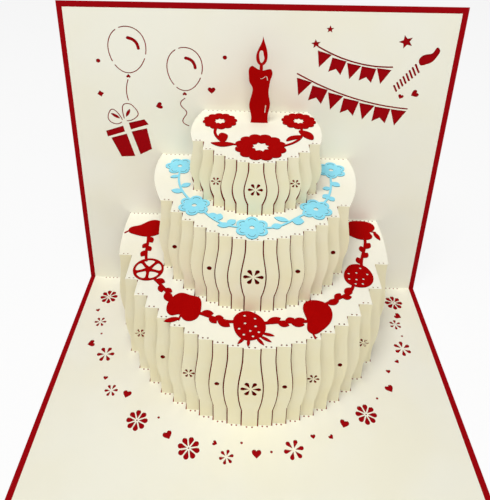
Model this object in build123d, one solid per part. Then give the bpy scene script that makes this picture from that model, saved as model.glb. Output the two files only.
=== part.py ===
from build123d import *
import os
from collections import namedtuple
from math import atan2, cos, sin, pi, sqrt, radians

# A pop up card opened to a right angle: a red cover, one cut and folded cream sheet that
# stands up as a three-tier cake, a garland glued on each tier and a candle slotted into the top.
# Frame, in mm: X across the card, -Y towards its front edge, +Z up, with the origin at the middle
# of the floor panel's underside. Pieces are drawn with the spine fold along X at Y = 0 and moved
# back by half the floor's depth at the end. "Depth" is the distance in front of the back panel's
# printed face, "height" the distance above the floor panel's printed face.

# ---- card and paper ----
CARD_WIDTH = 170.0
BACK_HEIGHT = 150.0
FLOOR_DEPTH = 150.0
COVER_THICK = 0.4
SHEET_THICK = 0.3
TRIM_THICK = 0.3
BORDER = 2.5              # red edge of the cover left showing around the cream sheet
SPINE_RADIUS = 0.35

# ---- cake: each tier is a fan of upright strips whose feet follow a half circle ----
CAKE_CENTRE = 16.0        # depth of the tiers' common centre
FULLEST = 0.98            # share of a tier's radius that its outermost cut may reach
KERF = 0.5                # width of the laser cut between two strips
BOW_DEPTH = 1.55          # sideways swing of each wavy cut
BOW_START = 0.10          # where the swing starts, peaks and ends, down the strip
BOW_PEAK = 0.52
BOW_END = 0.79

Tier = namedtuple("Tier", "radius base top centre_half pitch crease_half side_bulge")
LOWER = Tier(61.0, 0.0, 42.5, 3.25, 5.6, 60.5, 1.0)
MIDDLE = Tier(43.5, 42.5, 77.0, 3.25, 5.0, 43.1, 3.1)
UPPER = Tier(28.5, 77.0, 100.5, 2.8, 4.55, 23.2, 2.6)
TIERS = (LOWER, MIDDLE, UPPER)

# ---- perforations along the folds ----
PINHOLE = 0.66
PINHOLE_SET_BACK = 0.45   # from a fold to the middle of its pinholes
CREASE_PITCH = 1.95
SPINE_PINHOLES = 4

# ---- cut-out ornaments ----
LINE_CUT = 0.45           # width of a thin drawn line
FLOWER_LARGE = 4.3
FLOWER_MEDIUM = 3.9
FLOWER_SMALL = 2.8
HEART_LARGE = 3.6
HEART_SMALL = 2.0
PETAL_START = 0.17        # shares of a flower's radius: where its petals start, and how full they are
PETAL_LARGE = 0.235
PETAL_SMALL = 0.215
DOT = 0.95
DOT_TINY = 0.5
TRIM_CENTRE = 16.0        # depth of the cake's centre that the trims' points are drawn about

# ---- candle ----
CANDLE_DEPTH = 11.2
CANDLE_HEIGHT = 39.0
CANDLE_WIDTH = 7.8
CANDLE_X = 1.3
TAB_WIDTH = 4.6
TAB_LENGTH = 4.0
SLOT_CLEARANCE = 0.1

FACE_Z = COVER_THICK + SHEET_THICK          # printed face of the floor panel
FACE_Y = -COVER_THICK - SHEET_THICK         # printed face of the back panel


# ---- cake geometry ----

def strips(tier):
    """How many strips stand on each side of the tier's centre strip."""
    return int((FULLEST * tier.radius - tier.centre_half) / tier.pitch)


def edge(tier, j):
    """Half width of the tier out to cut j; cut 0 bounds the centre strip."""
    return tier.centre_half + tier.pitch * j


def depth(tier, j):
    """Depth at which strip j stands: its outer cut meets the tier's circle."""
    return CAKE_CENTRE + sqrt(tier.radius**2 - edge(tier, j) ** 2)


def drop(tier):
    return tier.top - tier.base


def bow(u):
    """Share of the full swing of a wavy cut, at the fraction u of the way down a strip."""
    if BOW_START < u < BOW_PEAK:
        rise = (u - BOW_START) / (BOW_PEAK - BOW_START)
        return rise * rise * (3 - 2 * rise)
    if BOW_PEAK <= u < BOW_END:
        fall = (u - BOW_PEAK) / (BOW_END - BOW_PEAK)
        return 1 - fall * fall
    return 0.0


def cut_x(tier, j, run):
    """Half width at cut j, at the length run along the paper from the tier's back crease."""
    if j == strips(tier) and run < depth(tier, j):
        share = run / depth(tier, j)
        straight = tier.crease_half + (edge(tier, j) - tier.crease_half) * share
        return straight + 4 * tier.side_bulge * share * (1 - share)
    return edge(tier, j) + BOW_DEPTH * bow((run - depth(tier, j)) / drop(tier))


def cut_path(tier, j, start, end, place, shift=0.0, pieces=6):
    """Edges that follow cut j from run start to run end; place(x, run) gives each point."""
    turns = [depth(tier, j) + share * drop(tier) for share in (0, BOW_START, BOW_PEAK, BOW_END)]
    stops = [start] + [run for run in turns if start + 0.3 < run < end - 0.3] + [end]
    edges = []
    for a, b in zip(stops, stops[1:]):
        runs = [a + (b - a) * i / pieces for i in range(pieces + 1)]
        # just inside a turn, so that the value belongs to this stretch
        values = [cut_x(tier, j, min(max(run, a + 1e-6), b - 1e-6)) for run in runs]
        points = [place(x + shift, run) for x, run in zip(values, runs)]
        if edges:
            points[0] = edges[-1] @ 1
        if max(values) - min(values) < 1e-4:
            edges.append(Line(points[0], points[-1]))
        else:
            edges.append(Spline(points))
    return edges


def mirrored(edges):
    """The edges seen in a mirror at X = 0."""
    return [e.mirror(Plane.YZ) for e in edges]


def outline(edges):
    """A face inside the closed edges, always facing up, so that faces join and rise together."""
    face = Face(Wire(edges))
    return Sketch() + (face if face.normal_at().Z > 0 else -face)


def strip_face(tier, j):
    """One upright strip, drawn with X across and Y up from the tier's base."""
    foot = depth(tier, j) + drop(tier)

    def place(x, run):
        return (x, foot - run)

    outer = cut_path(tier, j, depth(tier, j), foot, place, -KERF / 2)
    if j == 0:
        inner = mirrored(outer)
    else:
        inner = cut_path(tier, j - 1, depth(tier, j), foot, place, KERF / 2)
    ends = [Line(inner[0] @ 0, outer[0] @ 0), Line(inner[-1] @ 1, outer[-1] @ 1)]
    # the paper wraps round both folds, to the far faces of the panels that it joins
    near, far = (inner[-1] @ 1).X, (outer[-1] @ 1).X
    hem = Pos((near + far) / 2, -SHEET_THICK / 2) * Rectangle(far - near, SHEET_THICK)
    return outline(outer + inner + ends) + hem


def steps(tier, place, shift):
    """The right half of a tier's stepped front, from its outermost strip to its centre strip."""
    edges = []
    last = strips(tier)
    for j in range(last, 0, -1):
        runs = [place(edge(tier, j), depth(tier, j)), place(edge(tier, j - 1) + shift, depth(tier, j))]
        if edges:
            runs[0] = edges[-1] @ 1
        edges.append(Line(runs[0], runs[1]))
        edges.append(Line(runs[1], place(edge(tier, j - 1) + shift, depth(tier, j - 1))))
    return edges


def top_outline(tier):
    """The flat top of a tier, drawn with X across and Y = -depth."""
    last = strips(tier)
    side = cut_path(tier, last, 0, depth(tier, last), lambda x, run: (x, -run))
    front = steps(tier, lambda x, d: (x, -d), -KERF / 2)
    front[0] = Line(side[-1] @ 1, front[0] @ 1)
    half = side + front
    crease = Line(mirrored(half[:1])[0] @ 0, half[0] @ 0)
    nose = Line(half[-1] @ 1, mirrored(half[-1:])[0] @ 1)
    # the top laps under the back panel's edge, where the crease holds it
    lap = Pos(0, SHEET_THICK / 2) * Rectangle(2 * tier.crease_half, SHEET_THICK)
    return outline(half + [nose] + mirrored(half) + [crease]) + lap


def landing_outline(tier):
    """The opening that a tier leaves in the panel it stands on, with Y = -depth."""
    last = strips(tier)
    fall = drop(tier)
    side = cut_path(tier, last, fall, fall + depth(tier, last), lambda x, run: (x, fall - run), KERF / 2)
    half = list(side)
    for j in range(last, 0, -1):
        path = cut_path(tier, j - 1, depth(tier, j) + fall, depth(tier, j - 1) + fall,
                        lambda x, run: (x, fall - run), KERF / 2)
        half.append(Line(half[-1] @ 1, path[0] @ 0))
        half.extend(path)
    nose = Line(half[-1] @ 1, mirrored(half[-1:])[0] @ 1)
    back = Line(mirrored(half[:1])[0] @ 0, half[0] @ 0)
    rear = Pos(0, SHEET_THICK / 2) * Rectangle(2 * (half[0] @ 0).X, SHEET_THICK)
    return outline(half + [nose] + mirrored(half) + [back]) + rear


def back_opening(tier):
    """The opening that a tier leaves in the back panel, drawn with X across and Y up."""
    side = cut_path(tier, strips(tier), 0, drop(tier), lambda x, run: (x, tier.top - run), KERF / 2)
    upper = Line(mirrored(side[:1])[0] @ 0, side[0] @ 0)
    lower = Line(side[-1] @ 1, mirrored(side[-1:])[0] @ 1)
    return outline(side + [lower] + mirrored(side) + [upper])


# ---- ornaments, drawn about their own middle ----

def at(shape, x, y, turn=0.0):
    return Pos(x, y) * Rot(0, 0, turn) * shape


def both_sides(edges):
    return outline(edges + [e.mirror(Plane.XZ) for e in edges])


def petal(inner, outer, half_width):
    """A drop with its point at X = inner and its round end at X = outer."""
    middle = outer - half_width
    slope = half_width / (middle - inner)
    touch = (middle - half_width * slope, half_width * sqrt(1 - slope**2))
    crown = (middle + half_width * cos(pi / 4), half_width * sin(pi / 4))
    return both_sides([Line((inner, 0), touch), ThreePointArc(touch, crown, (outer, 0))])


def leaf(length, half_width):
    return both_sides([Bezier((0, 0), (0.3 * length, 1.33 * half_width),
                              (0.7 * length, 1.33 * half_width), (length, 0))])


def rosette(count, radius, fullness, turn=0.0, eye=0.0):
    """Separate petals round a middle, which may have an eye of its own."""
    one = petal(PETAL_START * radius, radius, fullness * radius)
    shapes = [Rot(0, 0, turn + 360 * i / count) * one for i in range(count)]
    if eye:
        shapes.append(Sketch() + Circle(eye))
    return shapes


def heart(size):
    tip, side, dip = (0, -0.48 * size), (0.5 * size, 0.15 * size), (0, 0.26 * size)
    low = Bezier(tip, (0.18 * size, -0.28 * size), (0.5 * size, -0.1 * size), side)
    high = Bezier(side, (0.5 * size, 0.46 * size), (0.12 * size, 0.52 * size), dip)
    return outline([low, high] + mirrored([low, high]))


def star(radius, count=5, waist=0.45):
    points = []
    for i in range(2 * count):
        reach = radius if i % 2 == 0 else waist * radius
        angle = pi / 2 + pi * i / count
        points.append((reach * cos(angle), reach * sin(angle)))
    return outline(Polyline(points, close=True).edges())


def ribbon(points, width, tip=None):
    """A band of even width along a smooth line, with round ends; tip is the width at its end."""
    line = Spline(points) if len(points) > 2 else Line(*points)
    tip = width if tip is None else tip
    count = 3 * len(points)
    left = []
    right = []
    for i in range(count + 1):
        t = i / count
        middle = line @ t
        half = (width + (tip - width) * t) / 2
        side = (line % t).rotate(Axis.Z, 90) * half
        left.append(middle + side)
        right.append(middle - side)
    edges = [Spline(left), Line(left[-1], right[-1]), Spline(right), Line(left[0], right[0])]
    ends = [Pos(*tuple(line @ 0)) * Circle(width / 2), Pos(*tuple(line @ 1)) * Circle(tip / 2)]
    return outline(edges) + ends


def blob(points):
    """A smooth closed outline through the points."""
    return outline([Spline(points, periodic=True)])


def joined(shapes):
    return Sketch() + shapes


def balloon(x, y, half_width, half_height, gaps):
    """A balloon's thin outline, broken by small bridges at the given angles, with its highlight."""

    def rim(angle):
        swell = 1 + 0.10 * sin(angle)
        return (x + half_width * swell * cos(angle), y + half_height * sin(angle))

    shapes = []
    for a, b in zip(gaps, gaps[1:] + [gaps[0] + 360]):
        start, end = radians(a + 6), radians(b - 6)
        shapes.append(ribbon([rim(start + (end - start) * i / 7) for i in range(8)], LINE_CUT))
    gleam = [(0.08, 0.52), (0.42, 0.40), (0.60, 0.08)]
    shapes.append(ribbon([(x + half_width * u, y + half_height * v) for u, v in gleam], 1.5, 1.3))
    shapes.append(at(heart(1.9), x - 0.3, y - half_height - 1.5, 180))
    return shapes


def gift_box():
    """A tilted present with a bow, as separate fields between uncut ribbons."""
    fields = [
        [(-68.9, 88.4), (-60.7, 91.3), (-60.0, 88.3), (-68.3, 85.4)],
        [(-58.0, 92.9), (-50.6, 94.9), (-48.8, 92.3), (-57.2, 89.4)],
        [(-66.7, 84.8), (-59.3, 87.2), (-56.1, 75.2), (-62.6, 74.8)],
        [(-57.0, 88.3), (-49.7, 90.3), (-47.9, 79.4), (-53.5, 76.2)],
    ]
    shapes = [outline(Polyline(points, close=True).edges()) for points in fields]
    left_loop = [(-60.9, 94.4), (-62.6, 97.7), (-65.2, 99.6), (-66.9, 97.4), (-67.0, 94.1), (-65.4, 92.6),
                 (-61.3, 93.1)]
    right_loop = [(-59.9, 95.2), (-60.4, 99.0), (-59.5, 102.2), (-57.3, 102.6), (-54.5, 100.3),
                  (-53.3, 97.6), (-55.0, 95.2), (-58.6, 93.9)]
    shapes += [ribbon(left_loop, LINE_CUT), ribbon(right_loop, LINE_CUT)]
    shapes += [at(leaf(5.0, 0.75), -61.7, 95.0, 148), at(leaf(4.6, 0.75), -59.0, 95.9, 63)]
    return shapes


def striped_candle():
    """A slanting party candle: eight stripes and a flame."""
    start, end = Vector(60.0, 113.2), Vector(68.0, 122.6)
    shapes = []
    for i in range(8):
        middle = start + (end - start) * (i / 7)
        reach = Vector(-0.5, 1) * (1.2 + 0.07 * i)
        ends = [middle + reach, middle - reach]
        shapes.append(ribbon([(end_point.X, end_point.Y) for end_point in ends], 0.85))
    flame = [(68.6, 124.6), (68.4, 127.3), (70.6, 129.0), (73.4, 129.8), (75.0, 132.2), (76.0, 131.4),
             (75.6, 128.5), (73.6, 125.6), (70.8, 124.3)]
    shapes.append(blob(flame))
    return shapes


def bunting(start, end, sag, count, size):
    """A hanging line of flags, plain and swallow-tailed by turns."""
    start, end = Vector(*start), Vector(*end)

    def cord(t):
        point = start + (end - start) * t - Vector(0, 4 * sag * t * (1 - t))
        return (point.X, point.Y)

    shapes = [ribbon([cord(i / 6) for i in range(7)], 1.5 * LINE_CUT)]
    for i in range(count):
        x, y = cord((i + 0.5) / count)
        slope = -18 + 12 * (i + 0.5) / count
        tail = [(0.36, -1.0), (0, -0.72), (-0.36, -1.0)] if i % 2 else [(0, -1.05)]
        flag = [(u * size, v * size) for u, v in [(-0.42, -0.12), (0.42, -0.12)] + tail]
        shapes.append(at(outline(Polyline(flag, close=True).edges()), x, y, slope))
    return shapes


def pinholes(x_from, x_to, y, pitch):
    count = max(2, round((x_to - x_from) / pitch))
    gap = (x_to - x_from) / count
    return [Pos(x_from + gap * (i + 0.5), y) * Circle(PINHOLE / 2) for i in range(count)]


def fold_pinholes(tier, ahead):
    """Two pinholes at the fold of each strip; ahead is their distance in front of the fold."""
    shapes = []
    for j in range(strips(tier) + 1):
        width = tier.pitch if j else 2 * tier.centre_half
        middle = edge(tier, j) - width / 2
        for offset in (-width / 6, width / 6):
            hole = Pos(middle + offset, -depth(tier, j) - ahead) * Circle(PINHOLE / 2)
            shapes.append(hole)
            if j:
                shapes.append(Pos(-middle - offset, -depth(tier, j) - ahead) * Circle(PINHOLE / 2))
    return shapes


# ---- the panels' cut-outs ----

def back_cutouts():
    shapes = balloon(-56.2, 128.2, 8.2, 10.6, [-15, 115, 215])
    shapes += balloon(-31.5, 119.8, 7.7, 10.1, [-17, 112, 232])
    shapes.append(ribbon([(-56.8, 114.3), (-57.8, 107.2), (-57.3, 104.4)], LINE_CUT))
    string = [(-31.8, 105.9), (-33.3, 101.9), (-31.1, 98.9), (-32.8, 95.5), (-30.3, 92.2)]
    shapes.append(ribbon(string, LINE_CUT))
    shapes += gift_box()
    shapes += [Pos(-69.3, 123.0) * Circle(DOT), Pos(-14.0, 125.7) * Circle(DOT)]
    shapes.append(at(star(1.6, 4, 0.65), -69.7, 107.3, 10))
    shapes += [at(heart(3.4), -43.5, 101.9, -75), at(heart(3.4), -19.8, 110.1)]
    shapes += [at(heart(2.4), 62.9, 109.3, -20), at(heart(3.5), 68.7, 110.8, -60)]
    shapes += [at(star(1.7), 29.8, 139.2), at(star(2.1), 24.4, 132.7, 8), at(star(3.1), 61.7, 134.4, 20)]
    shapes += striped_candle()
    shapes += bunting((25.5, 131.5), (57.5, 123.0), 2.5, 5, 7.6)
    shapes += bunting((17.5, 119.0), (66.5, 103.5), 3.0, 7, 8.4)
    return shapes


def floor_cutouts():
    shapes = []
    for x, d, turn in ((-71.7, 13.9, 8), (-44.6, 76.9, 0), (-22.9, 86.6, -12), (47.0, 69.8, -2),
                       (72.3, 10.3, 0)):
        shapes += [at(s, x, -d) for s in rosette(8, FLOWER_LARGE, PETAL_LARGE, turn, 0.6 * DOT_TINY)]
    for x, d, turn in ((-64.8, 47.4, 5), (16.9, 85.2, 15), (69.7, 37.5, 30)):
        shapes += [at(s, x, -d) for s in rosette(6, FLOWER_MEDIUM, PETAL_SMALL, turn)]
    for x, d, turn in ((-71.9, 29.7, 5), (-58.0, 64.7, 5), (-8.5, 89.1, 15), (69.8, 24.0, 28)):
        shapes += [at(s, x, -d) for s in rosette(6, FLOWER_SMALL, PETAL_SMALL, turn)]
    for x, d, turn in ((-72.9, 42.1, -70), (-51.0, 66.0, -10), (-31.6, 82.1, 30), (2.8, 87.4, 0),
                       (37.6, 74.1, -20), (59.1, 57.9, 25), (72.3, 18.7, 60)):
        shapes.append(at(heart(HEART_LARGE), x, -d, turn))
    for x, d, turn in ((-75.0, 22.7, 20), (-61.8, 59.1, 0), (-13.1, 84.2, 70), (24.7, 79.8, 10),
                       (31.7, 79.6, 40), (60.5, 49.7, 0), (65.6, 44.5, 30)):
        shapes.append(at(heart(HEART_SMALL), x, -d, turn))
    for x, d in ((-69.6, 36.4), (-36.2, 75.3), (-2.9, 83.6), (8.4, 86.4), (52.9, 62.6), (71.3, 30.5)):
        shapes.append(Pos(x, -d) * Circle(DOT_TINY))
    return shapes


def strip_cutouts(tier, j):
    """Ornaments in strip j, drawn on it: height is measured from the tier's base."""
    middle = 0 if j == 0 else edge(tier, j) - tier.pitch / 2
    swing = 0 if j == 0 else 0.8 * BOW_DEPTH
    level = 0.5 * drop(tier)
    if j == 0:
        radius = (1.04 if tier is UPPER else 1.2) * tier.centre_half
        return [at(s, 0, level) for s in rosette(6, radius, PETAL_SMALL)]
    flowers = {LOWER: (4, 8), MIDDLE: (), UPPER: (3,)}
    dots = {LOWER: (2, 6), MIDDLE: (3, 6), UPPER: ()}
    if j in flowers[tier]:
        return [at(s, middle + swing, level) for s in rosette(6, 0.42 * tier.pitch, PETAL_SMALL)]
    if j in dots[tier]:
        return [Pos(middle + swing, level) * Circle(DOT)]
    return []


# ---- the folded sheet ----

def flat_panel(face, height):
    """A level panel whose upper face is at the given height."""
    return Pos(0, FACE_Y, FACE_Z + height - SHEET_THICK) * extrude(face, SHEET_THICK)


def upright_panel(face, front, height=0.0):
    """An upright panel whose front face is at the given depth."""
    placed = Pos(0, FACE_Y - front + SHEET_THICK, FACE_Z + height) * Rot(90, 0, 0)
    return placed * extrude(face, SHEET_THICK)


def popup_sheet():
    half = CARD_WIDTH / 2 - BORDER
    back_top = BACK_HEIGHT - BORDER - FACE_Z
    floor_front = FLOOR_DEPTH - BORDER + FACE_Y
    back = Pos(0, (back_top - SHEET_THICK) / 2) * Rectangle(2 * half, back_top + SHEET_THICK)
    back -= [back_opening(tier) for tier in TIERS]
    foot = cut_x(LOWER, strips(LOWER), drop(LOWER)) + KERF / 2
    back -= Pos(0, -SHEET_THICK / 2) * Rectangle(2 * foot, SHEET_THICK)
    back -= back_cutouts()

    floor = Pos(0, -floor_front / 2 + SHEET_THICK / 2) * Rectangle(2 * half, floor_front + SHEET_THICK)
    floor -= landing_outline(LOWER)
    floor -= floor_cutouts() + fold_pinholes(LOWER, PINHOLE_SET_BACK)
    spine_room = SPINE_PINHOLES * CREASE_PITCH
    for side in (-1, 1):
        middle = side * (half - 2 * BORDER - spine_room / 2)
        floor -= pinholes(middle - spine_room / 2, middle + spine_room / 2, -PINHOLE_SET_BACK, CREASE_PITCH)

    panels = [upright_panel(back, 0), flat_panel(floor, 0)]
    for tier, upper in zip(TIERS, TIERS[1:] + (None,)):
        top = top_outline(tier)
        room = 0.0
        if upper:
            top -= landing_outline(upper)
            top -= fold_pinholes(upper, PINHOLE_SET_BACK)
            room = upper.crease_half + upper.side_bulge
        else:
            top -= Pos(CANDLE_X, -CANDLE_DEPTH) * Rectangle(
                TAB_WIDTH + 2 * SLOT_CLEARANCE, TRIM_THICK + 2 * SLOT_CLEARANCE)
        top -= fold_pinholes(tier, -SHEET_THICK - PINHOLE_SET_BACK)
        reach = tier.crease_half - 1.0
        for side in (-1, 1):
            near, far = sorted((side * room, side * reach))
            top -= pinholes(near, far, -PINHOLE_SET_BACK, CREASE_PITCH)
        panels.append(flat_panel(top, tier.top))
        for j in range(strips(tier) + 1):
            face = strip_face(tier, j)
            holes = strip_cutouts(tier, j)
            if holes:
                face -= holes
            wall = upright_panel(face, depth(tier, j), tier.base)
            panels.append(wall)
            if j:
                panels.append(wall.mirror(Plane.YZ))
    return Part() + panels


# ---- the other pieces ----

def cover():
    floor = Pos(0, -FLOOR_DEPTH / 2, COVER_THICK / 2) * Box(CARD_WIDTH, FLOOR_DEPTH, COVER_THICK)
    back = Pos(0, -COVER_THICK / 2, BACK_HEIGHT / 2) * Box(CARD_WIDTH, COVER_THICK, BACK_HEIGHT)
    folded = floor + back
    spine = folded.edges().filter_by(Axis.X).sort_by(lambda e: e.center().Z - e.center().Y)[0]
    return fillet(spine, SPINE_RADIUS)


def trim(face, tier):
    """A flat ornament glued on a tier's top, moved with the cake's centre."""
    return Pos(0, FACE_Y + TRIM_CENTRE - CAKE_CENTRE, FACE_Z + tier.top) * extrude(face, TRIM_THICK)


def scalloped_flower(radius, count=12):
    """A flat bloom with a scalloped rim and a star-shaped hole."""
    scallop = Pos(0.76 * radius, 0) * Circle(0.245 * radius)
    petals = [Rot(0, 0, 360 * i / count) * scallop for i in range(count)]
    return joined(petals + [Circle(0.78 * radius)]) - star(0.36 * radius, 8, 0.72)


def upper_garland():
    """Three blooms in an arc, joined by a stem with leaves on each side."""
    side = 7.4
    front = 10.2
    shapes = [at(scalloped_flower(side), -15.4, -11.0, 8), at(scalloped_flower(side), 18.4, -9.0, -8),
              at(scalloped_flower(front), 1.7, -32.2, 15)]
    shapes.append(ribbon([(-16.7, -17.6), (-16.9, -21.5), (-15.2, -26.2), (-13.0, -29.5)], 1.2))
    shapes.append(ribbon([(-10.4, -30.7), (-6.0, -31.0)], 1.0))
    shapes.append(ribbon([(19.0, -15.4), (19.0, -19.0), (18.3, -23.3), (15.5, -27.6), (10.6, -31.0)], 1.1))
    leaves = [
        [(-14.2, -28.6), (-15.4, -25.6), (-14.0, -21.6), (-11.7, -23.2), (-11.7, -26.4), (-12.6, -28.6)],
        [(-17.8, -29.8), (-14.5, -29.2), (-10.9, -29.3), (-8.6, -30.6), (-10.2, -31.9), (-13.8, -32.8),
         (-16.4, -31.6)],
        [(18.4, -17.6), (21.0, -18.3), (23.3, -21.4), (22.4, -25.4), (20.6, -24.4), (18.6, -21.6)],
        [(18.6, -22.0), (15.8, -22.2), (13.4, -23.6), (12.2, -27.0), (14.6, -25.9), (17.8, -24.0)],
    ]
    shapes += [blob(points) for points in leaves]
    return joined(shapes)


def round_petalled_flower(radius, turn):
    """A six-petal bloom with a hole for its eye and a crescent cut in each petal."""
    petals = [Circle(0.42 * radius)]
    crescents = [Circle(0.15 * radius)]
    for i in range(6):
        spin = Rot(0, 0, turn + 60 * i)
        petals.append(spin * Pos(0.62 * radius, 0) * Circle(0.38 * radius))
        arc = []
        for k in range(5):
            angle = radians(-75 + 37.5 * k)
            arc.append((radius * (0.58 + 0.22 * cos(angle)), 0.22 * radius * sin(angle)))
        crescents.append(spin * ribbon(arc, 0.25))
    return joined(petals) - crescents


def middle_garland():
    """Five blooms round the tier, joined by leafy stems."""
    side = 6.5
    places = [(-33.5, -10.6, 0), (-24.1, -39.5, 23), (-1.0, -52.2, 30), (24.3, -39.5, 40),
              (34.2, -10.3, 25)]
    shapes = [at(round_petalled_flower(side, turn), x, y) for x, y, turn in places]
    stems = [
        [(-33.0, -16.2), (-32.6, -21.5), (-31.2, -27.0), (-26.0, -36.0)],
        [(-19.6, -43.6), (-15.5, -48.0), (-11.0, -50.9), (-6.5, -52.0)],
        [(4.6, -52.0), (9.5, -50.6), (14.0, -47.4), (20.0, -42.6)],
        [(33.2, -16.0), (32.6, -22.0), (31.3, -28.0), (27.8, -35.4)],
    ]
    shapes += [ribbon(points, 0.9) for points in stems]
    leaves = [(-32.6, -18.4, 4.2, 1.2, 200), (-31.0, -26.8, 4.6, 1.5, 35), (-29.6, -30.4, 5.2, 1.6, 170),
              (-18.2, -45.2, 4.0, 1.5, -10), (-14.4, -48.6, 4.4, 1.6, 75), (-9.0, -51.0, 5.2, 1.5, 185),
              (-10.6, -50.8, 4.4, 1.6, 40), (6.2, -51.6, 4.4, 1.6, 20), (13.2, -47.6, 6.0, 1.3, 160),
              (14.2, -46.9, 4.8, 2.3, -8), (32.9, -20.0, 4.4, 1.7, -40), (32.2, -24.4, 3.6, 1.3, 190),
              (31.0, -29.4, 3.8, 1.5, 215), (30.6, -30.6, 3.4, 1.4, -60)]
    shapes += [at(leaf(length, half), x, y, turn) for x, y, length, half, turn in leaves]
    return joined(shapes)


def strawberry(turn):
    """A rounded berry with seed holes; its calyx end points along -Y before turning."""
    body = blob([(-6.4, 1.2), (-5.0, 5.2), (-1.6, 6.9), (2.6, 5.6), (5.8, 1.6), (5.6, -2.8), (2.4, -6.0),
                 (-2.2, -6.4), (-5.4, -3.2)])
    seeds = [(-2.0, 4.6), (2.0, 3.4), (-1.8, 1.0), (2.2, -0.2), (0.2, -2.4), (-4.0, -1.6), (3.4, -2.8),
             (-2.2, -4.2), (1.2, -4.8)]
    return Rot(0, 0, turn) * (body - [Pos(x, y) * Circle(0.5) for x, y in seeds])


def apple():
    """A plump fruit with a dip at its base, and its stem leaf on the lower left."""
    body = blob([(-5.6, 6.2), (-1.2, 8.2), (1.6, 7.2), (4.6, 6.4), (6.2, 1.2), (4.0, -5.0), (1.4, -5.6),
                 (-0.6, -4.4), (-2.2, -2.6), (-4.6, -3.2), (-7.0, -1.6), (-7.4, 2.0)])
    stem = ribbon([(-1.4, -2.8), (-1.9, -5.2)], 0.7)
    blade = at(leaf(6.4, 1.1), -1.4, -4.4, 197)
    return joined([body, stem, blade])


def pear():
    """A pear lying with its stem end along -Y."""
    body = blob([(-5.2, 4.6), (-3.2, 7.6), (0.6, 8.2), (4.6, 6.4), (6.0, 1.8), (4.4, -2.8), (0.8, -6.6),
                 (-2.2, -8.2), (-4.2, -7.0), (-4.2, -2.6)])
    return joined([body, ribbon([(-2.6, -7.6), (-1.9, -10.0)], 0.7)])


def citrus(radius, count=5):
    """A slice of citrus: a ring, with a wedge-shaped hole for each segment."""
    half = [(0.24, 0), (0.36, 0.14), (0.56, 0.29), (0.72, 0.34), (0.82, 0.21), (0.85, 0)]
    points = half + [(x, -y) for x, y in half[-2:0:-1]]
    wedge = blob([(x * radius, y * radius) for x, y in points])
    return (Sketch() + Circle(radius)) - [Rot(0, 0, 20 + 360 * i / count) * wedge for i in range(count)]


def leafy_stem(points, width, leaves):
    """A stem with leaves lying along it: each has its share of the way, turn, length and half width."""
    line = Spline(points)
    shapes = [ribbon(points, width)]
    for share, turn, length, half in leaves:
        root, way = line @ share, line % share
        heading = atan2(way.Y, way.X) * 180 / pi
        shapes.append(at(leaf(length, half), root.X, root.Y, heading + turn))
    return shapes


def lower_garland():
    """Fruit round the tier, joined by leafy stems."""
    shapes = [at(pear(), -50.2, -12.6, -62), at(citrus(6.6), -44.6, -39.0), at(apple(), -26.2, -60.0),
              at(strawberry(0), -0.9, -66.6), at(pear(), 25.2, -61.0), at(strawberry(-40), 45.2, -38.4),
              at(Rot(0, 0, 90) * apple(), 53.0, -7.2)]
    calyx = [(-2.4, -71.6, 4.6, -130), (-1.2, -72.4, 3.6, -95), (1.4, -71.6, 4.6, -50),
             (2.6, -71.0, 5.2, -30), (3.6, -69.8, 4.8, -12)]
    shapes += [at(leaf(length, 0.62), x, y, turn) for x, y, length, turn in calyx]
    stems = [
        ([(-48.6, -17.6), (-47.8, -24.0), (-47.4, -29.0), (-46.4, -33.6)],
         [(0.02, 22, 4.8, 1.6), (0.30, -32, 3.8, 1.3), (0.42, 30, 3.8, 1.3), (0.60, -28, 4.4, 1.5)]),
        ([(-41.0, -44.4), (-37.2, -48.4), (-34.2, -52.0), (-31.0, -56.0)],
         [(0.05, 28, 4.4, 1.5), (0.28, -26, 4.4, 1.4), (0.48, 26, 3.8, 1.3), (0.60, -20, 5.6, 1.8)]),
        ([(-20.4, -61.6), (-16.0, -63.2), (-11.8, -64.6), (-6.6, -65.0)],
         [(0.02, 20, 5.2, 1.6), (0.28, -24, 4.4, 1.4), (0.42, 24, 3.8, 1.3), (0.52, -15, 6.0, 1.7)]),
        ([(4.6, -65.2), (9.8, -64.4), (15.0, -64.0), (21.0, -63.4)],
         [(0.05, 14, 6.2, 1.5), (0.30, -22, 4.8, 1.4), (0.48, 22, 4.2, 1.3), (0.60, -16, 5.6, 1.6),
          (0.66, 14, 5.0, 1.3)]),
        ([(29.4, -54.4), (34.0, -51.6), (38.0, -49.2), (41.6, -44.6)],
         [(0.02, -18, 5.4, 1.5), (0.28, 24, 4.4, 1.4), (0.48, -26, 4.2, 1.4), (0.62, 20, 5.0, 1.7)]),
        ([(47.4, -32.6), (48.6, -27.0), (50.4, -22.0), (52.4, -13.4)],
         [(0.08, 24, 4.4, 1.5), (0.30, -28, 4.4, 1.5), (0.48, 26, 4.2, 1.4), (0.62, -22, 5.0, 1.6)]),
    ]
    for points, leaves in stems:
        shapes += leafy_stem(points, 1.3, leaves)
    return joined(shapes)


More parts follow.
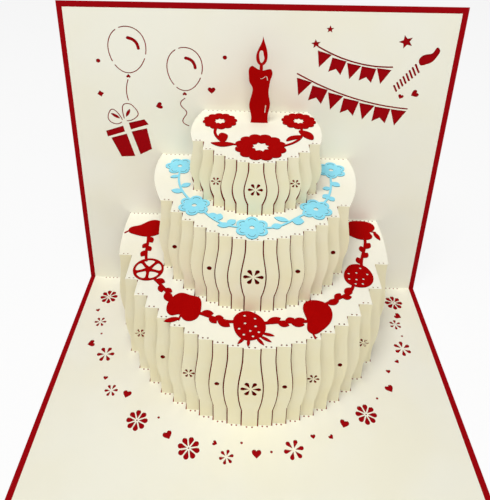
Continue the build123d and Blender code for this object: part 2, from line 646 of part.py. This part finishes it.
def candle():
    """A flat candle with a dripping rim and a flame, standing on its tab."""
    w = CANDLE_WIDTH
    h = CANDLE_HEIGHT
    left = [(-0.47, 0.0), (-0.49, 0.13), (-0.56, 0.20), (-0.50, 0.29), (-0.41, 0.37), (-0.43, 0.43),
            (-0.55, 0.47), (-0.62, 0.56), (-0.60, 0.64), (-0.47, 0.665), (-0.28, 0.645), (-0.06, 0.625)]
    right = [(0.49, 0.0), (0.49, 0.13), (0.56, 0.235), (0.46, 0.35), (0.48, 0.44), (0.54, 0.52),
             (0.62, 0.585), (0.53, 0.63), (0.30, 0.625), (0.13, 0.615)]
    rim = Spline([(x * w, y * h) for x, y in left])
    lip = Spline([(x * w, y * h) for x, y in right])
    body = outline([Line(rim @ 0, lip @ 0), rim, lip, Line(rim @ 1, lip @ 1)])
    neck = Pos(0.02 * w, 0.655 * h) * Rectangle(0.17 * w, 0.09 * h)
    outer = [(0.0, 0.67), (-0.22, 0.715), (-0.26, 0.78), (-0.14, 0.86), (0.0, 0.925), (0.05, 1.0)]
    inner = [(0.05, 1.0), (0.17, 0.92), (0.30, 0.83), (0.32, 0.75), (0.22, 0.695), (0.04, 0.67)]
    flame = outline([Spline([(x * w, y * h) for x, y in outer]), Spline([(x * w, y * h) for x, y in inner]),
                     Line((0.04 * w, 0.67 * h), (0.0, 0.67 * h))])
    heart_of_flame = ((0.02, 0.84), (-0.09, 0.75), (0.03, 0.70), (0.16, 0.74), (0.12, 0.79))
    marks = [blob([(x * w, y * h) for x, y in heart_of_flame])]
    marks.append(ribbon([(0.0, 20.4), (1.0, 20.6), (2.0, 21.4), (2.9, 19.8)], 0.35))
    marks.append(ribbon([(2.6, 8.2), (2.3, 5.0)], 0.4))
    tab = Pos(0, -TAB_LENGTH / 2) * Rectangle(TAB_WIDTH, TAB_LENGTH)
    face = joined([body, neck, flame, tab]) - marks
    stand = Pos(CANDLE_X, FACE_Y - CANDLE_DEPTH + TRIM_THICK / 2, FACE_Z + UPPER.top) * Rot(90, 0, 0)
    return stand * extrude(face, TRIM_THICK)


def main():
    os.makedirs("parts", exist_ok=True)
    pieces = {
        "cover": cover(),
        "popup_sheet": popup_sheet(),
        "upper_garland": trim(upper_garland(), UPPER),
        "middle_garland": trim(middle_garland(), MIDDLE),
        "lower_garland": trim(lower_garland(), LOWER),
        "candle": candle(),
    }
    for name, drawn in pieces.items():
        piece = Pos(0, FLOOR_DEPTH / 2, 0) * drawn
        solids = piece.solids()
        print(name, "solids", len(solids), "volume", round(piece.volume, 2), "valid", piece.is_valid)
        export_step(solids[0] if len(solids) == 1 else piece, f"parts/{name}.step")


main()
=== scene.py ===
from math import radians

import bpy
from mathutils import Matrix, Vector


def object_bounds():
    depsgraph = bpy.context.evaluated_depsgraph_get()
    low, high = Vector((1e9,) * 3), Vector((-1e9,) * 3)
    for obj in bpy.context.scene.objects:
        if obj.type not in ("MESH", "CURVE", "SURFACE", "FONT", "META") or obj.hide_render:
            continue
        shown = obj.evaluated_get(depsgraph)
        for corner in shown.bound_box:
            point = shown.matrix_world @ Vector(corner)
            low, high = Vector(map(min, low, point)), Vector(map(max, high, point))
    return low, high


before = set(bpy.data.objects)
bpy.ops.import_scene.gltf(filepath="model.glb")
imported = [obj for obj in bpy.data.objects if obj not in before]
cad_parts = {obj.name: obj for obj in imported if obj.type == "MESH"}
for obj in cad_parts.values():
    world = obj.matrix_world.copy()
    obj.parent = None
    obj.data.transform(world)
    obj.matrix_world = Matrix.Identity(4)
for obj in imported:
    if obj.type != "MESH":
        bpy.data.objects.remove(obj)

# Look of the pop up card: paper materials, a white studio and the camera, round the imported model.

cad_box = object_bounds()
scene = bpy.context.scene
MM = 0.001

# ---- sizes of the card, as modelled, in mm ----
SHEET_THICK = 0.3
FACE = 0.7                            # printed faces stand this far inside the cover's outer faces
BACK_FACE_Y = cad_box[1].y / MM - FACE
LEVELS = (0.0, 42.5, 77.0, 100.5)     # heights of the level panels above the floor's printed face
LEVEL_REACH = 0.52 * SHEET_THICK      # half a level panel's thickness, with a little to spare
CLEAR_OF_BACK = 0.5                   # a face this far ahead of the back panel belongs to the cake

# ---- size of the true normal along an axis that parts faces from cut edges ----
HALF = 0.5
FACES_SPINE = 0.985                   # a level panel's short hems face the spine almost squarely

# ---- colours, linear ----
CREAM = (0.890, 0.875, 0.755)
CREAM_WARM = (0.865, 0.820, 0.610)
# painted shade: the warm yellow that shade and light bounced between the standing strips give them, laid
# into their colour
BOUNCE_SHADE_TINT = (0.850, 0.765, 0.450)
SCORCH = (0.230, 0.062, 0.018)
CARD_RED = (0.330, 0.0015, 0.0040)
PAPER_RED = (0.375, 0.0010, 0.0010)
RED_EDGE = (0.160, 0.0010, 0.0010)
SKY = (0.285, 0.735, 0.900)
SKY_EDGE = (0.030, 0.190, 0.250)


# ---- node helpers ----

class Graph:
    """A material's node tree, with short ways to add and join nodes."""

    def __init__(self, name, roughness, specular):
        self.material = bpy.data.materials.new(name)
        self.material.use_nodes = True
        self.tree = self.material.node_tree
        self.shader = self.tree.nodes["Principled BSDF"]
        self.shader.inputs["Roughness"].default_value = roughness
        self.shader.inputs["Specular IOR Level"].default_value = specular

    def node(self, kind, **settings):
        made = self.tree.nodes.new(kind)
        for key, value in settings.items():
            setattr(made, key, value)
        return made

    def put(self, value, socket):
        if isinstance(value, bpy.types.NodeSocket):
            self.tree.links.new(value, socket)
        elif isinstance(value, tuple) and len(value) == 3 and socket.type == "RGBA":
            socket.default_value = (*value, 1.0)
        else:
            socket.default_value = value

    def math(self, operation, *values):
        made = self.node("ShaderNodeMath", operation=operation)
        for value, socket in zip(values, made.inputs):
            self.put(value, socket)
        return made.outputs[0]

    def mix(self, factor, a, b):
        made = self.node("ShaderNodeMix", data_type="RGBA")
        self.put(factor, made.inputs["Factor"])
        self.put(a, made.inputs["A"])
        self.put(b, made.inputs["B"])
        return made.outputs["Result"]

    def ramp(self, value, low, high):
        """0 at low, 1 at high and beyond."""
        made = self.node("ShaderNodeMapRange", interpolation_type="SMOOTHSTEP")
        self.put(value, made.inputs["Value"])
        made.inputs["From Min"].default_value = low
        made.inputs["From Max"].default_value = high
        return made.outputs["Result"]

    def axes(self, vector):
        made = self.node("ShaderNodeSeparateXYZ")
        self.put(vector, made.inputs[0])
        return made.outputs

    def place(self):
        return self.node("ShaderNodeTexCoord").outputs["Object"]

    def facing(self):
        """Size of the true normal along each axis."""
        parts = self.axes(self.node("ShaderNodeNewGeometry").outputs["True Normal"])
        return [self.math("ABSOLUTE", part) for part in parts]

    def noise(self, feature_mm, detail=2.0, roughness=0.5, stretch=(1.0, 1.0, 1.0)):
        """Noise whose features are about feature_mm across, longer along an axis with a small stretch."""
        mapping = self.node("ShaderNodeMapping", vector_type="POINT")
        self.put(self.place(), mapping.inputs["Vector"])
        mapping.inputs["Scale"].default_value = stretch
        made = self.node("ShaderNodeTexNoise")
        self.put(mapping.outputs[0], made.inputs["Vector"])
        made.inputs["Scale"].default_value = 1.0 / (feature_mm * MM)
        made.inputs["Detail"].default_value = detail
        made.inputs["Roughness"].default_value = roughness
        return made.outputs["Fac"]

    def bump(self, height, strength, distance_mm):
        made = self.node("ShaderNodeBump")
        self.put(height, made.inputs["Height"])
        made.inputs["Strength"].default_value = strength
        made.inputs["Distance"].default_value = distance_mm * MM
        self.put(made.outputs["Normal"], self.shader.inputs["Normal"])

    def colour(self, value):
        self.put(value, self.shader.inputs["Base Color"])


# ---- paper ----

def scaled(colour, share):
    return tuple(share * part for part in colour)


def paper_grain(graph, strength):
    """Pressed fibres: fine felt and longer strands, as bump."""
    felt = graph.noise(0.35, 4.0, 0.62)
    strands = graph.noise(0.55, 3.0, 0.55, (0.25, 1.0, 1.0))
    graph.bump(graph.math("ADD", felt, graph.math("MULTIPLY", strands, 0.6)), strength, 0.06)


def sheet_cut_faces(graph):
    """1 on the laser cut edges of the folded sheet, 0 on its faces and folds."""
    _, ny, nz = graph.facing()
    height = graph.axes(graph.place())[2]
    level = 0.0
    for top in LEVELS:
        middle = (FACE + top - SHEET_THICK / 2) * MM
        inside = graph.math("COMPARE", height, middle, LEVEL_REACH * MM)
        level = graph.math("ADD", level, inside)
    level = graph.math("MINIMUM", level, 1.0)
    upright = graph.math("LESS_THAN", nz, HALF)
    flat_edge = graph.math("MULTIPLY", upright, graph.math("LESS_THAN", ny, FACES_SPINE))
    standing_edge = graph.math("LESS_THAN", ny, HALF)
    standing = graph.math("SUBTRACT", 1.0, level)
    return graph.math("ADD", graph.math("MULTIPLY", level, flat_edge),
                      graph.math("MULTIPLY", standing, standing_edge))


def painted_strip_shade(graph):
    """1 on the standing strips, whose colour gets painted warm shade and painted bounced light, 0 on the
    plain panels.
    """
    ny = graph.facing()[1]
    y = graph.axes(graph.place())[1]
    upright = graph.math("GREATER_THAN", ny, HALF)
    ahead = graph.math("LESS_THAN", y, (BACK_FACE_Y - CLEAR_OF_BACK) * MM)
    return graph.math("MULTIPLY", upright, ahead)


def cream_card():
    graph = Graph("cream_card", 0.85, 0.08)
    cloud = graph.ramp(graph.noise(38.0, 2.0), 0.35, 0.70)
    body = graph.mix(graph.math("MULTIPLY", cloud, 0.35), CREAM, CREAM_WARM)
    fleck = graph.ramp(graph.noise(0.5, 2.0), 0.60, 0.80)
    body = graph.mix(graph.math("MULTIPLY", fleck, 0.10), body, CREAM_WARM)
    # painted shade: the standing strips are tinted warmer and darker, by a share from 0.35 to 0.80, in
    # place of the shade and bounced light between them
    painted_shade_share = graph.math("ADD", 0.35, graph.math("MULTIPLY", graph.noise(9.0, 2.0), 0.45))
    body = graph.mix(graph.math("MULTIPLY", painted_strip_shade(graph), painted_shade_share), body, BOUNCE_SHADE_TINT)
    soot = graph.ramp(graph.noise(1.6, 3.0), 0.25, 0.60)
    burn = graph.mix(soot, scaled(SCORCH, 1.9), SCORCH)
    graph.colour(graph.mix(sheet_cut_faces(graph), body, burn))
    paper_grain(graph, 0.22)
    return graph.material


def dyed_paper(name, body, edge, axis):
    """Coloured paper whose cut edges, square to the given face axis, are darker."""
    graph = Graph(name, 0.85, 0.02)
    cut = graph.math("LESS_THAN", graph.facing()[axis], HALF)
    mottle = graph.math("MULTIPLY", graph.ramp(graph.noise(0.9, 3.0), 0.35, 0.75), 0.22)
    tone = graph.mix(mottle, body, scaled(body, 0.80))
    graph.colour(graph.mix(cut, tone, edge))
    paper_grain(graph, 0.25)
    return graph.material


def cover_card():
    graph = Graph("cover_card", 0.75, 0.03)
    mottle = graph.math("MULTIPLY", graph.ramp(graph.noise(1.2, 3.0), 0.35, 0.75), 0.25)
    graph.colour(graph.mix(mottle, CARD_RED, scaled(CARD_RED, 0.82)))
    paper_grain(graph, 0.25)
    return graph.material


def dress(node, material):
    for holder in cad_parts[node].material_slots:
        holder.material = material


Y_AXIS, Z_AXIS = 1, 2
red_flat = dyed_paper("red_paper_flat", PAPER_RED, RED_EDGE, Z_AXIS)
dress("cover", cover_card())
dress("popup_sheet", cream_card())
dress("upper_garland", red_flat)
dress("lower_garland", red_flat)
dress("middle_garland", dyed_paper("blue_paper", SKY, SKY_EDGE, Z_AXIS))
dress("candle", dyed_paper("red_paper_upright", PAPER_RED, RED_EDGE, Y_AXIS))


# ---- studio ----

def studio_floor():
    """A pale floor that shows white, with the card's soft shadow on it."""
    graph = Graph("studio_floor", 0.9, 0.0)
    graph.colour((0.90, 0.90, 0.90))
    light_path = graph.node("ShaderNodeLightPath")
    seen = graph.math("MAXIMUM", light_path.outputs["Is Camera Ray"], light_path.outputs["Is Glossy Ray"])
    glow = graph.node("ShaderNodeEmission")
    glow.inputs["Color"].default_value = (1, 1, 1, 1)
    glow.inputs["Strength"].default_value = 1.0
    blend = graph.node("ShaderNodeMixShader")
    graph.put(graph.math("MULTIPLY", seen, 0.86), blend.inputs["Fac"])
    graph.put(graph.shader.outputs[0], blend.inputs[1])
    graph.put(glow.outputs[0], blend.inputs[2])
    output = graph.tree.nodes["Material Output"]
    graph.put(blend.outputs[0], output.inputs["Surface"])
    bpy.ops.mesh.primitive_plane_add(size=6.0)
    floor = bpy.context.object
    floor.name = "studio_floor"
    floor.data.materials.append(graph.material)


def softbox(name, position, target, size, power):
    data = bpy.data.lights.new(name, "AREA")
    data.shape = "SQUARE"
    data.size = size
    data.energy = power
    lamp = bpy.data.objects.new(name, data)
    scene.collection.objects.link(lamp)
    lamp.location = position
    lamp.rotation_euler = (Vector(target) - Vector(position)).to_track_quat("-Z", "Y").to_euler()


def surround(strength):
    world = bpy.data.worlds.new("surround")
    scene.world = world
    world.use_nodes = True
    tree = world.node_tree
    light_path = tree.nodes.new("ShaderNodeLightPath")
    level = tree.nodes.new("ShaderNodeMapRange")
    level.inputs["To Min"].default_value = strength
    level.inputs["To Max"].default_value = 1.0
    tree.links.new(light_path.outputs["Is Camera Ray"], level.inputs["Value"])
    background = tree.nodes["Background"]
    background.inputs["Color"].default_value = (1, 1, 1, 1)
    tree.links.new(level.outputs["Result"], background.inputs["Strength"])


studio_floor()
surround(strength=0.20)
softbox("key", position=(-0.12, -0.30, 1.05), target=(0, -0.01, 0.04), size=0.45, power=7.4)
softbox("front", position=(0.10, -0.95, 0.62), target=(0, 0, 0.07), size=0.60, power=3.5)
scene.view_settings.view_transform = "Standard"

# ---- camera: in front of the card and above it, with the frame lowered on the lens axis ----
lens = bpy.data.cameras.new("camera")
camera = bpy.data.objects.new("camera", lens)
scene.collection.objects.link(camera)
scene.camera = camera
camera.location = Vector((-4.20, -137.07, 204.34)) * MM
camera.rotation_euler = [radians(angle) for angle in (65.60, -0.32, 2.72)]
lens.sensor_width = 36.0
lens.lens = 37.69
lens.shift_x = 0.0394
lens.shift_y = -0.3084
lens.clip_start = 0.01
